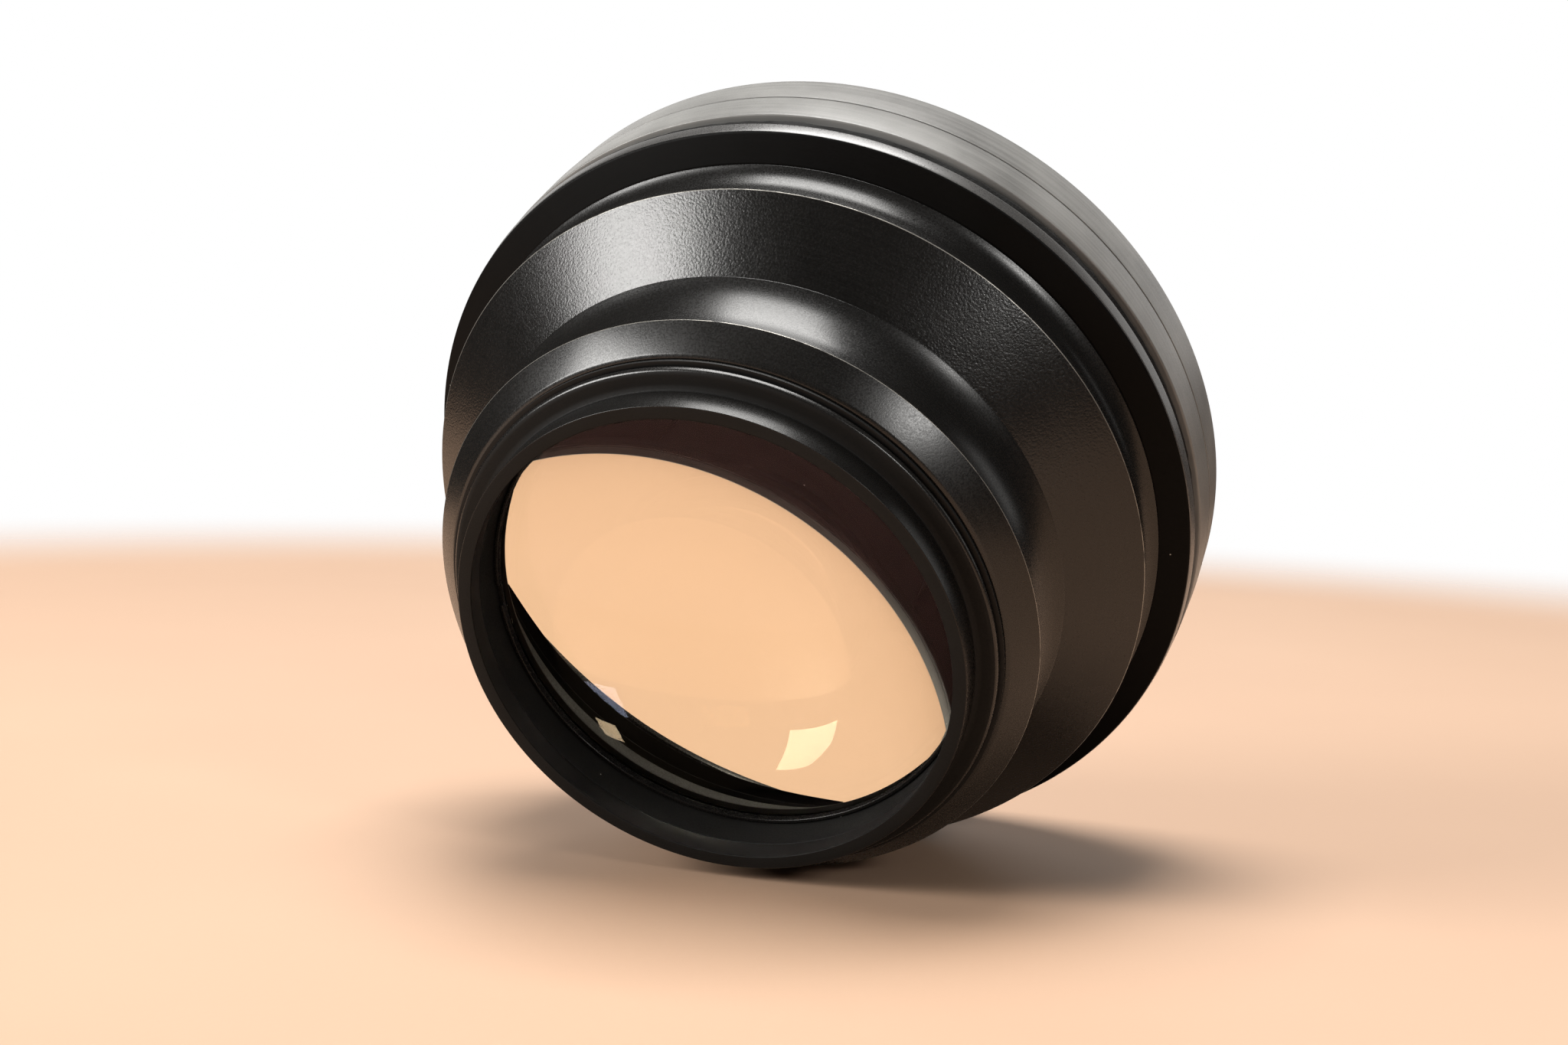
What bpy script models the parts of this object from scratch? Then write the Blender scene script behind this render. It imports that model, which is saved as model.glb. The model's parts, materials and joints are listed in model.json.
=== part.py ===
"""Wide-angle conversion lens for a camera, lying on its side, in metres with +Z up.

Every turned piece is drawn as an outline of (station, radius) points. A station is the distance
along the optical axis from the rear end face, towards the big front rim. The empty lay_down
then rests the finished lens on its collar and on the edge of its cone, as it lies on a table.
"""

import math

import bmesh
import bpy
from mathutils import Matrix, Vector

MM = 0.001
SIDES = 48  # flats round each turned piece
GAP = 0.3 * MM  # between pieces that touch
SMOOTH_BELOW = math.radians(30)

# Radii of the outside, from the rear end to the front rim
SPIGOT_RADIUS = 33.35 * MM
SHOULDER_RADIUS = 35.95 * MM
COLLAR_REAR_RADIUS = 36.75 * MM
COLLAR_RADIUS = 40.0 * MM
NECK_RADIUS = 37.2 * MM
CONE_REAR_RADIUS = 39.9 * MM
CONE_RADIUS = 48.8 * MM
COVE_RADIUS = 47.2 * MM
WALL_FOOT_RADIUS = 48.9 * MM
WALL_TOP_RADIUS = 52.5 * MM
FLANGE_RADIUS = 52.9 * MM
SEAL_RADIUS = 52.5 * MM
FRONT_RADIUS = 53.0 * MM
FRONT_RIM_RADIUS = 52.65 * MM

# Stations of the outside
SHOULDER_START = 4.4 * MM
SHOULDER_END = 5.5 * MM
WASHER_START = 5.8 * MM
WASHER_END = 6.2 * MM
SNAP_GROOVE_START = 7.9 * MM
SNAP_GROOVE_END = 9.1 * MM
SNAP_GROOVE_DEPTH = 0.45 * MM
TAIL_END = 9.7 * MM
COLLAR_START = 6.5 * MM
COLLAR_END = 10.0 * MM
NECK_COVE_START = 15.0 * MM
CONE_START = 22.4 * MM
CONE_END = 29.3 * MM
COVE_START = 31.5 * MM
WALL_FOOT = 37.1 * MM
WALL_TOP = 38.45 * MM
FLANGE_END = 40.6 * MM
SLEEVE_START = 43.4 * MM
RIM_START = 49.6 * MM
RIM_ROUND_START = 56.2 * MM
FRONT_END = 57.0 * MM

# Bores
MOUNT_BORE = 31.55 * MM
MOUNT_BORE_FRONT = 31.8 * MM
MOUNT_BORE_STEP = 3.3 * MM
BARREL_BORE = 32.85 * MM
TAIL_RADIUS = 34.05 * MM
COLLAR_POCKET_RADIUS = 35.9 * MM
COLLAR_BORE = 36.9 * MM
BARREL_TAIL_START = 9.2 * MM
BARREL_TAIL_RADIUS = 36.6 * MM
BAFFLE_BORE = 42.9 * MM
BAFFLE_BORE_START = 29.5 * MM
FUNNEL_START = 20.5 * MM
FUNNEL_BEND = 22.6 * MM
FUNNEL_RADIUS = 34.9 * MM
FLANGE_BORE = 43.8 * MM
FLANGE_BORE_START = 33.6 * MM
HUB_RADIUS = 50.6 * MM
HUB_END = 49.0 * MM
HUB_BORE_REAR = 46.2 * MM
HUB_BORE_FRONT = 48.3 * MM
FILTER_BORE = 50.2 * MM
FILTER_FLOOR = 51.5 * MM
FILTER_LIP = 48.6 * MM

# Rear glass and its cell
REAR_GLASS_RADIUS = 31.85 * MM
REAR_GLASS_START = 9.3 * MM
REAR_GLASS_VERTEX = 19.5 * MM
REAR_GLASS_CURVE = 63.0 * MM
CELL_START = 3.6 * MM
CELL_END = 18.5 * MM
CELL_BORE = 32.0 * MM
CELL_RADIUS = 32.55 * MM
CELL_LIP = 31.2 * MM
CELL_LIP_START = 11.6 * MM
CELL_LIP_END = 12.6 * MM
RETAINER_START = 8.0 * MM
RETAINER_END = 9.0 * MM
RETAINER_BORE = 31.35 * MM

# Front glass and its cell
FRONT_GLASS_RADIUS = 41.8 * MM
FRONT_GLASS_VERTEX = 52.0 * MM
FRONT_GLASS_CURVE = 300.0 * MM
FRONT_GLASS_HOLLOW = 48.7 * MM
FRONT_GLASS_HOLLOW_CURVE = 60.0 * MM
FRONT_GLASS_CLEAR = 39.4 * MM
FRONT_CELL_RADIUS = 43.4 * MM
FRONT_CELL_BORE = 42.1 * MM
FRONT_CELL_START = 32.6 * MM
FRONT_CELL_END = 50.2 * MM
FRONT_LIP = 39.6 * MM
FRONT_LIP_RADIUS = 42.5 * MM
FRONT_LIP_END = 33.1 * MM
FRONT_SEAL_START = 33.3 * MM
FRONT_SEAL_END = 33.7 * MM
FRONT_SEAL_BORE = 39.9 * MM
FRONT_SEAL_RADIUS = 41.6 * MM
FRONT_RETAINER_START = 49.4 * MM
FRONT_RETAINER_BORE = 41.2 * MM
TRIM_START = 50.5 * MM
TRIM_END = 51.2 * MM
TRIM_BORE = 42.6 * MM
TRIM_RADIUS = 48.2 * MM

# Baffles: station, bore and radius
REAR_BAFFLE = (23.4 * MM, 32.6 * MM, 35.1 * MM)
MIDDLE_BAFFLE = (27.0 * MM, 34.0 * MM, 39.3 * MM)
FRONT_BAFFLE = (31.4 * MM, 33.3 * MM, 42.5 * MM)
BAFFLE_EDGE = 0.1 * MM
BAFFLE_THICKNESS = 0.8 * MM
BAFFLE_BEVEL = 1.2 * MM

GLASS_STEPS = 4
SLIDE = 0.15 * MM  # between pieces that slide into each other
CHAMFER = 0.2 * MM
FILTER_CHAMFER = 0.6 * MM
RIM_CORNER = 0.4 * MM
SLOT_WIDTH = 3.0 * MM
SLOT_DEPTH = 0.5 * MM
SNAP_RING_START = 8.2 * MM
SNAP_RING_END = 8.8 * MM
SNAP_RING_RADIUS = 35.6 * MM
SNAP_RING_OPENING = math.radians(24)
FULL_TURN = 2 * math.pi


def clear_scene():
    for obj in list(bpy.data.objects):
        bpy.data.objects.remove(obj, do_unlink=True)


def material(name, colour, roughness, metallic=0.0, transmission=0.0):
    made = bpy.data.materials.new(name)
    made.use_nodes = True
    shader = made.node_tree.nodes["Principled BSDF"]
    shader.inputs["Base Color"].default_value = (*colour, 1.0)
    shader.inputs["Roughness"].default_value = roughness
    shader.inputs["Metallic"].default_value = metallic
    shader.inputs["Transmission Weight"].default_value = transmission
    return made


def empty(name, parent=None):
    made = bpy.data.objects.new(name, None)
    bpy.context.scene.collection.objects.link(made)
    made.parent = parent
    return made


def turned(name, outline, finish, parent, angle=FULL_TURN):
    """A piece turned round the optical axis from its closed outline of (station, radius) points."""
    mesh = bpy.data.meshes.new(name)
    shape = bmesh.new()
    # Half a flat of offset puts a flat, not a corner, where the lens meets the table.
    start = Matrix.Rotation(math.pi / SIDES, 3, "Z")
    points = [shape.verts.new(start @ vector) for vector in profile_vectors(outline)]
    ends = points[1:] + points[:1]
    drawn = points + [shape.edges.new(pair) for pair in zip(points, ends) if apart(*pair)]
    full = angle == FULL_TURN
    if not full:
        drawn.append(shape.faces.new(points))
    steps = round(SIDES * angle / FULL_TURN)
    bmesh.ops.spin(
        shape,
        geom=drawn,
        cent=(0, 0, 0),
        axis=(0, 0, 1),
        angle=angle,
        steps=steps,
        use_merge=full,
    )
    bmesh.ops.remove_doubles(shape, verts=shape.verts, dist=1e-7)
    bmesh.ops.recalc_face_normals(shape, faces=shape.faces)
    shape.to_mesh(mesh)
    shape.free()
    mesh.materials.append(finish)
    mesh.shade_smooth()
    mesh.set_sharp_from_angle(angle=SMOOTH_BELOW)
    made = bpy.data.objects.new(name, mesh)
    bpy.context.scene.collection.objects.link(made)
    made.parent = parent
    return made


def profile_vectors(outline):
    return [Vector((radius, 0.0, station)) for station, radius in outline]


def apart(first, second):
    """Two outline points that both lie on the axis need no edge between them."""
    return max(abs(first.co.x), abs(second.co.x)) > 1e-9


def cove(start, end, steps):
    """A hollow curve that leaves start parallel to the axis and rises to end."""
    length = end[0] - start[0]
    rise = end[1] - start[1]
    curve = (length**2 + rise**2) / (2 * rise)
    sweep = math.asin(length / curve)
    turns = [sweep * step / steps for step in range(steps + 1)]
    return [
        (start[0] + curve * math.sin(turn), start[1] + curve * (1 - math.cos(turn)))
        for turn in turns
    ]


def lens_surface(vertex, curve, radius, direction):
    """Points of a round glass surface, from its vertex on the axis out to its edge.

    direction is -1 where the edge lies nearer the rear than the vertex, and 1 where it is nearer the front.
    """
    sweep = math.asin(radius / curve)
    turns = [sweep * step / GLASS_STEPS for step in range(GLASS_STEPS + 1)]
    return [
        (vertex + direction * curve * (1 - math.cos(turn)), curve * math.sin(turn))
        for turn in turns
    ]


def cut_slots(ring, station, depth, parent):
    """Two opposite slots for a pin spanner, across the face of a retaining ring."""
    bpy.ops.mesh.primitive_cube_add(size=1)
    cutter = bpy.context.active_object
    cutter.name = ring.name + "_slot_cutter"
    cutter.data.transform(Matrix.Diagonal((4 * SPIGOT_RADIUS, SLOT_WIDTH, 2 * depth, 1)))
    cutter.parent = parent
    cutter.location = (0, 0, station)
    cutter.hide_render = True
    cutter.display_type = "WIRE"
    cut = ring.modifiers.new("slots", "BOOLEAN")
    cut.operation = "DIFFERENCE"
    cut.object = cutter


def mount_ring(finish, parent):
    """The rear mount: a smooth spigot with a rounded shoulder, and a tail held inside the collar."""
    groove = TAIL_RADIUS - SNAP_GROOVE_DEPTH
    return turned(
        "mount_ring",
        [
            (0, SPIGOT_RADIUS - GAP),
            (GAP, SPIGOT_RADIUS),
            (SHOULDER_START, SPIGOT_RADIUS),
            (SHOULDER_START + GAP, SHOULDER_RADIUS - 3 * CHAMFER),
            (SHOULDER_START + 2 * GAP, SHOULDER_RADIUS - CHAMFER),
            (SHOULDER_END, SHOULDER_RADIUS),
            (SHOULDER_END, TAIL_RADIUS),
            (SNAP_GROOVE_START, TAIL_RADIUS),
            (SNAP_GROOVE_START, groove),
            (SNAP_GROOVE_END, groove),
            (SNAP_GROOVE_END, TAIL_RADIUS),
            (TAIL_END, TAIL_RADIUS),
            (TAIL_END, BARREL_BORE),
            (MOUNT_BORE_STEP, BARREL_BORE),
            (MOUNT_BORE_STEP, MOUNT_BORE_FRONT),
            (0, MOUNT_BORE),
        ],
        finish,
        parent,
    )


def plain_ring(name, start, end, inner, outer, finish, parent, angle=FULL_TURN):
    """A ring of rectangular section."""
    outline = [(start, inner), (start, outer), (end, outer), (end, inner)]
    return turned(name, outline, finish, parent, angle)


def snap_ring(finish, parent):
    """An open spring ring in the tail's groove, which keeps the mount ring in the collar."""
    return plain_ring(
        "snap_ring",
        SNAP_RING_START,
        SNAP_RING_END,
        TAIL_RADIUS - SLIDE,
        SNAP_RING_RADIUS,
        finish,
        parent,
        angle=FULL_TURN - SNAP_RING_OPENING,
    )


def thrust_washer(finish, parent):
    """The thin washer that the mount ring's shoulder turns against."""
    return plain_ring(
        "thrust_washer",
        WASHER_START,
        WASHER_END,
        TAIL_RADIUS + GAP,
        COLLAR_REAR_RADIUS - SLIDE,
        finish,
        parent,
    )


def rear_collar(finish, parent):
    """The conical collar, with a lip behind the snap ring and a bore for the barrel's tail."""
    lip = TAIL_RADIUS + GAP
    return turned(
        "rear_collar",
        [
            (COLLAR_START, COLLAR_REAR_RADIUS - CHAMFER),
            (COLLAR_START + CHAMFER, COLLAR_REAR_RADIUS + CHAMFER),
            (COLLAR_END, COLLAR_RADIUS),
            (COLLAR_END, COLLAR_BORE),
            (BARREL_TAIL_START - GAP, COLLAR_BORE),
            (BARREL_TAIL_START - GAP, COLLAR_POCKET_RADIUS),
            (SNAP_GROOVE_START - GAP, COLLAR_POCKET_RADIUS),
            (SNAP_GROOVE_START - GAP, lip),
            (COLLAR_START, lip),
        ],
        finish,
        parent,
    )


def main_barrel(finish, parent):
    """The body: a hollowed neck, the broad cone, and a cove that ends at the foot of the flange."""
    neck_start = COLLAR_END + GAP
    foot = WALL_FOOT - GAP
    outside = [
        (BARREL_TAIL_START, BARREL_TAIL_RADIUS),
        (neck_start, BARREL_TAIL_RADIUS),
        (neck_start, NECK_RADIUS),
    ]
    outside += cove((NECK_COVE_START, NECK_RADIUS), (CONE_START, CONE_REAR_RADIUS), 4)
    outside += [(CONE_END, CONE_RADIUS), (CONE_END + 2 * GAP, COVE_RADIUS)]
    outside += cove((COVE_START, COVE_RADIUS), (foot, WALL_FOOT_RADIUS), 3)
    inside = [
        (foot, FLANGE_BORE),
        (FLANGE_BORE_START, FLANGE_BORE),
        (FLANGE_BORE_START, BAFFLE_BORE),
        (BAFFLE_BORE_START, BAFFLE_BORE),
        (FUNNEL_BEND, FUNNEL_RADIUS),
        (FUNNEL_START, BARREL_BORE),
        (COLLAR_END, BARREL_BORE),
        (COLLAR_END, COLLAR_POCKET_RADIUS),
        (BARREL_TAIL_START, COLLAR_POCKET_RADIUS),
    ]
    return turned("main_barrel", outside + inside, finish, parent)


def flange_ring(finish, parent):
    """The front flange: a dark rear wall, a narrow bright band, and the hub under the sleeve."""
    return turned(
        "flange_ring",
        [
            (WALL_FOOT, WALL_FOOT_RADIUS),
            (WALL_TOP, WALL_TOP_RADIUS),
            (WALL_TOP + GAP, WALL_TOP_RADIUS + CHAMFER),
            (FLANGE_END, FLANGE_RADIUS),
            (FLANGE_END, HUB_RADIUS),
            (HUB_END, HUB_RADIUS),
            (HUB_END, HUB_BORE_FRONT),
            (WALL_TOP, HUB_BORE_REAR),
            (WALL_TOP, FLANGE_BORE),
            (WALL_FOOT, FLANGE_BORE),
        ],
        finish,
        parent,
    )


def seal_ring(finish, parent):
    """The soft ring between the flange and the front sleeve, with a crowned edge."""
    start = FLANGE_END + GAP
    end = SLEEVE_START - GAP
    inner = HUB_RADIUS + GAP
    return turned(
        "seal_ring",
        [
            (start, inner),
            (start, SEAL_RADIUS - GAP),
            ((start + end) / 2, SEAL_RADIUS),
            (end, SEAL_RADIUS - GAP),
            (end, inner),
        ],
        finish,
        parent,
    )


def front_sleeve(finish, parent):
    """The turned grey sleeve round the hub."""
    inner = HUB_RADIUS + GAP
    end = RIM_START - GAP
    return turned(
        "front_sleeve",
        [
            (SLEEVE_START, inner),
            (SLEEVE_START, FRONT_RADIUS - CHAMFER),
            (SLEEVE_START + CHAMFER, FRONT_RADIUS),
            (end, FRONT_RADIUS),
            (end, inner),
        ],
        finish,
        parent,
    )


def front_rim_ring(finish, parent):
    """The front rim, with the recess that takes a filter or a cap."""
    return turned(
        "front_rim_ring",
        [
            (RIM_START, FILTER_LIP),
            (RIM_START, FRONT_RADIUS),
            (RIM_ROUND_START, FRONT_RIM_RADIUS),
            (FRONT_END - CHAMFER, FRONT_RIM_RADIUS - RIM_CORNER),
            (FRONT_END, FRONT_RIM_RADIUS - 2 * RIM_CORNER),
            (FRONT_END, FILTER_BORE + FILTER_CHAMFER),
            (FRONT_END - FILTER_CHAMFER, FILTER_BORE),
            (FILTER_FLOOR, FILTER_BORE),
            (FILTER_FLOOR, FILTER_LIP),
        ],
        finish,
        parent,
    )


def rear_cell(finish, parent):
    """The tube that lines the rear bore and holds the rear glass between its lip and the retaining ring."""
    return turned(
        "rear_cell",
        [
            (CELL_START, CELL_BORE),
            (CELL_START, CELL_RADIUS),
            (CELL_END, CELL_RADIUS),
            (CELL_END, CELL_BORE),
            (CELL_LIP_END, CELL_BORE),
            (CELL_LIP_END, CELL_LIP),
            (CELL_LIP_START, CELL_LIP),
            (CELL_LIP_START, CELL_BORE),
        ],
        finish,
        parent,
    )


def rear_retaining_ring(finish, parent):
    """The narrow ring behind the rear glass, with two slots for a pin spanner."""
    ring = plain_ring(
        "rear_retaining_ring",
        RETAINER_START,
        RETAINER_END,
        RETAINER_BORE,
        CELL_BORE - SLIDE,
        finish,
        parent,
    )
    cut_slots(ring, RETAINER_START, SLOT_DEPTH, parent)
    return ring


def rear_lens(finish, parent):
    """The rear glass: flat towards the camera, and bulging into the barrel."""
    bulge = lens_surface(REAR_GLASS_VERTEX, REAR_GLASS_CURVE, REAR_GLASS_RADIUS, -1)
    back = [(REAR_GLASS_START, 0), (REAR_GLASS_START, REAR_GLASS_RADIUS)]
    return turned("rear_lens", back + bulge[::-1], finish, parent)


def baffle(name, place, finish, parent):
    """A thin ring with a knife edge, which stops stray light inside the barrel."""
    station, inner, outer = place
    front = station + BAFFLE_THICKNESS
    return turned(
        name,
        [
            (station, inner),
            (station + BAFFLE_EDGE, inner),
            (front, inner + BAFFLE_BEVEL),
            (front, outer),
            (station, outer),
        ],
        finish,
        parent,
    )


def front_cell(finish, parent):
    """The tube that carries the front glass, with a lip that reaches back into the barrel."""
    step = FLANGE_BORE_START + GAP
    return turned(
        "front_cell",
        [
            (FRONT_CELL_START, FRONT_LIP),
            (FRONT_CELL_START, FRONT_LIP_RADIUS),
            (step, FRONT_LIP_RADIUS),
            (step, FRONT_CELL_RADIUS),
            (FRONT_CELL_END, FRONT_CELL_RADIUS),
            (FRONT_CELL_END, FRONT_CELL_BORE),
            (FRONT_LIP_END, FRONT_CELL_BORE),
            (FRONT_LIP_END, FRONT_LIP),
        ],
        finish,
        parent,
    )


def front_seal(finish, parent):
    """The soft ring between the front glass and the lip of its cell."""
    return plain_ring(
        "front_seal",
        FRONT_SEAL_START,
        FRONT_SEAL_END,
        FRONT_SEAL_BORE,
        FRONT_SEAL_RADIUS,
        finish,
        parent,
    )


def front_lens(finish, parent):
    """The big front glass: a deep hollow behind, a gentle bulge in front, and a flat land at its edge."""
    hollow = lens_surface(FRONT_GLASS_HOLLOW, FRONT_GLASS_HOLLOW_CURVE, FRONT_GLASS_CLEAR, -1)
    bulge = lens_surface(FRONT_GLASS_VERTEX, FRONT_GLASS_CURVE, FRONT_GLASS_RADIUS, -1)
    land = [(hollow[-1][0], FRONT_GLASS_RADIUS)]
    return turned("front_lens", hollow + land + bulge[::-1], finish, parent)


def front_retaining_ring(finish, parent):
    """The narrow ring in front of the front glass, with two slots for a pin spanner."""
    ring = plain_ring(
        "front_retaining_ring",
        FRONT_RETAINER_START,
        FRONT_CELL_END,
        FRONT_RETAINER_BORE,
        FRONT_CELL_BORE - SLIDE,
        finish,
        parent,
    )
    cut_slots(ring, FRONT_CELL_END, SLOT_DEPTH, parent)
    return ring


def front_trim_ring(finish, parent):
    """The plain flat ring between the front glass and the filter recess."""
    return plain_ring(
        "front_trim_ring",
        TRIM_START,
        TRIM_END,
        TRIM_BORE,
        TRIM_RADIUS,
        finish,
        parent,
    )


def lay_down(tilt_empty):
    """Rests the lens on one flat of the collar's edge and one of the cone's, centred over the origin."""
    to_flat = math.cos(math.pi / SIDES)
    tilt = math.atan2((CONE_RADIUS - COLLAR_RADIUS) * to_flat, CONE_END - COLLAR_END)
    tilt_empty.rotation_euler = (tilt - math.pi / 2, 0, 0)
    lowest = COLLAR_END * math.sin(tilt) - COLLAR_RADIUS * to_flat * math.cos(tilt)
    rearmost = -(SPIGOT_RADIUS - GAP) * to_flat * math.sin(tilt)
    rim = FRONT_RIM_RADIUS - 2 * RIM_CORNER
    foremost = FRONT_END * math.cos(tilt) + rim * to_flat * math.sin(tilt)
    tilt_empty.location = (0, -(rearmost + foremost) / 2, -lowest)


def build():
    clear_scene()
    satin = material("satin_black_anodised", (0.022, 0.022, 0.022), 0.38, 0.6)
    blasted = material("blasted_black_anodised", (0.025, 0.025, 0.025), 0.45, 0.6)
    sleeve = material("matte_grey_anodised", (0.06, 0.06, 0.06), 0.55, 0.5)
    flange = material("gloss_black_flange", (0.015, 0.015, 0.015), 0.3, 0.6)
    bore = material("matte_black_bore", (0.012, 0.012, 0.012), 0.7)
    nylon = material("black_nylon", (0.02, 0.02, 0.02), 0.6)
    spring = material("spring_steel", (0.35, 0.35, 0.36), 0.35, 1.0)
    rubber = material("black_rubber", (0.01, 0.01, 0.01), 0.9)
    glass = material("optical_glass", (0.95, 0.97, 0.96), 0.02, 0.0, 1.0)

    lens = empty("lay_down")
    mount = empty("mount_turn", lens)

    mount_ring(satin, mount)
    snap_ring(spring, mount)
    thrust_washer(nylon, lens)
    rear_collar(satin, lens)
    main_barrel(blasted, lens)
    flange_ring(flange, lens)
    seal_ring(rubber, lens)
    front_sleeve(sleeve, lens)
    front_rim_ring(sleeve, lens)
    rear_cell(bore, lens)
    rear_retaining_ring(bore, lens)
    rear_lens(glass, lens)
    baffle("rear_baffle", REAR_BAFFLE, bore, lens)
    baffle("middle_baffle", MIDDLE_BAFFLE, bore, lens)
    baffle("front_baffle", FRONT_BAFFLE, bore, lens)
    front_cell(bore, lens)
    front_seal(rubber, lens)
    front_lens(glass, lens)
    front_retaining_ring(bore, lens)
    front_trim_ring(satin, lens)
    lay_down(lens)
    bpy.context.view_layer.update()


build()
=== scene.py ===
import json
import math

import bmesh
import bpy
from mathutils import Matrix, Vector, noise


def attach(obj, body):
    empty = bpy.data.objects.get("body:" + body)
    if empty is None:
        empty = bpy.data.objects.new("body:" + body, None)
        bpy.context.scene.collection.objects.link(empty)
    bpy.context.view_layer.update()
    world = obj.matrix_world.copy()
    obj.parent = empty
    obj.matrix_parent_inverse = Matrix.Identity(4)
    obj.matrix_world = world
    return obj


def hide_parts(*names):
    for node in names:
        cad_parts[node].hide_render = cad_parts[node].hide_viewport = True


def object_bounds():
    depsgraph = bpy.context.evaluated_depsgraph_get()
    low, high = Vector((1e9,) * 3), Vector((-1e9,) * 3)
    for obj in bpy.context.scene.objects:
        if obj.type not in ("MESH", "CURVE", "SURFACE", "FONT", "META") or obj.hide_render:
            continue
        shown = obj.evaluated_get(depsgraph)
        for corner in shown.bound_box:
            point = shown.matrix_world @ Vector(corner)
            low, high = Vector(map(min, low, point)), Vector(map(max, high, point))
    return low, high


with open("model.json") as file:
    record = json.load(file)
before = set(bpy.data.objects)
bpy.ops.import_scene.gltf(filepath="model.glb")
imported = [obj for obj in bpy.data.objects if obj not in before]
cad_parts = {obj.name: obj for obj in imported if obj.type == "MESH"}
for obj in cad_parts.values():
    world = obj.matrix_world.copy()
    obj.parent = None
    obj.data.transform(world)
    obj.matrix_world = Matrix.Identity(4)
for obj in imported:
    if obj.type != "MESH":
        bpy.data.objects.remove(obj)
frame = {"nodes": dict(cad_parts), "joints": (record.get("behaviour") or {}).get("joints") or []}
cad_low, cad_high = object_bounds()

# Every turned piece is drawn as an outline of (station, radius) corners, in millimetres. A station
# is the distance along the optical axis from the rear end face, towards the big front rim.
MM = 0.001
SIDES = 240  # facets round each turned piece
EASE = 0.1  # how far an ordinary corner is rounded off
EASE_SHARE = 0.45  # the most of a side that the rounding of one corner takes up
LEAST_EASE = 0.004  # a smaller rounding is left out
ROUND_STEPS = 4
COVE_STEPS = 14
DOME_STEPS = 40
ON_AXIS = 0.01  # a corner nearer to the axis than this is a point on it
STRAIGHT = math.radians(14)  # a corner that bends less than this is part of a curve
SMOOTH_BELOW = math.radians(32)

# The optical axis, from the frame's own joint: its point is the middle of the rear end face
turn_joint = frame["joints"][0]
REAR_CENTRE = Vector(turn_joint["pos_m"])
AXIS = Vector(turn_joint["axis"]).normalized()
ACROSS = Vector((1.0, 0.0, 0.0))
TURNED = Matrix((ACROSS, AXIS.cross(ACROSS), AXIS)).transposed()
LYING = Matrix.Translation(REAR_CENTRE) @ TURNED.to_4x4()

# Radii of the outside
SPIGOT = 33.35
SHOULDER = 35.95
COLLAR_REAR = 36.75
COLLAR = 40.0
NECK = 37.2
CONE_REAR = 39.9
CONE = 48.8
COVE = 47.2
WALL_FOOT = 48.9
WALL_TOP = 52.5
FLANGE = 52.9
SEAL = 52.4
FRONT = 53.0
FRONT_RIM = 52.65

# Bores and inner radii
MOUNT_BORE = 31.55
MOUNT_BORE_FRONT = 31.8
TAIL = 34.05
COLLAR_POCKET = 35.9
COLLAR_BORE = 36.9
BARREL_TAIL = 36.6
BARREL_BORE = 32.85
FUNNEL = 34.9
BAFFLE_BORE = 42.9
FLANGE_BORE = 43.8
HUB = 50.6
HUB_BORE_REAR = 46.2
HUB_BORE_FRONT = 48.3
FILTER_BORE = 50.2
FILTER_LIP = 48.6
REAR_CELL = 32.55
REAR_CELL_BORE = 32.0
REAR_CELL_LIP = 31.2
REAR_RETAINER = 31.85
REAR_RETAINER_BORE = 31.35
REAR_GLASS = 31.85
FRONT_CELL = 43.4
FRONT_CELL_REAR = 42.5
FRONT_CELL_BORE = 42.1
FRONT_CELL_LIP = 39.6
FRONT_SEAL = 41.6
FRONT_SEAL_BORE = 39.9
FRONT_GLASS = 41.8
FRONT_CLEAR = 39.4
FRONT_RETAINER = 41.95
FRONT_RETAINER_BORE = 41.2
TRIM = 48.2
TRIM_BORE = 42.6

# Stations of the edges seen outside
MATTE_START = 2.2
SPIGOT_END = 4.1
SHOULDER_START = 4.4
SHOULDER_FACE = 4.5
SHOULDER_ROUND = 4.8
SHOULDER_END = 5.5
WASHER_START = 5.8
WASHER_END = 6.2
COLLAR_START = 6.5
COLLAR_FACE_END = 6.7
COLLAR_END = 10.0
NECK_COVE_START = 15.0
CONE_START = 22.4
CONE_END = 29.3
CONE_BACK = 29.8
WALL_COVE_START = 33.2
WALL_COVE_END = 36.8
FLANGE_START = 37.1
FLANGE_WALL_BEND = 37.7
FLANGE_WALL_END = 38.45
FLANGE_END = 40.6
SEAL_START = 40.85
SEAL_END = 43.15
SLEEVE_START = 43.4
SLEEVE_END = 49.3
RIM_START = 49.6
RIM_ROUND_START = 56.2
RIM_BORE_START = 56.4
FRONT_END = 57.0

# Stations inside
MOUNT_BORE_STEP = 3.3
SNAP_GROOVE_START = 7.9
SNAP_GROOVE_END = 9.1
SNAP_GROOVE_DEPTH = 0.45
MOUNT_END = 9.7
POCKET_START = 7.6
POCKET_END = 8.9
BARREL_START = 9.2
FUNNEL_START = 20.5
FUNNEL_BEND = 22.6
BAFFLE_BORE_START = 29.5
FLANGE_BORE_START = 33.6
HUB_END = 49.0
FILTER_SEAT = 51.5
REAR_CELL_START = 3.6
REAR_CELL_LIP_START = 11.6
REAR_CELL_LIP_END = 12.6
REAR_CELL_END = 18.5
REAR_RETAINER_START = 8.0
REAR_RETAINER_END = 9.0
REAR_GLASS_START = 9.3
REAR_GLASS_VERTEX = 19.5
FRONT_CELL_START = 32.6
FRONT_CELL_FLOOR = 33.1
FRONT_SEAL_START = 33.3
FRONT_SEAL_END = 33.7
FRONT_CELL_STEP = 33.9
FRONT_RETAINER_START = 49.4
FRONT_CELL_END = 50.2
FRONT_GLASS_HOLLOW = 48.7
FRONT_GLASS_VERTEX = 52.0
TRIM_START = 50.5
TRIM_END = 51.2

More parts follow.
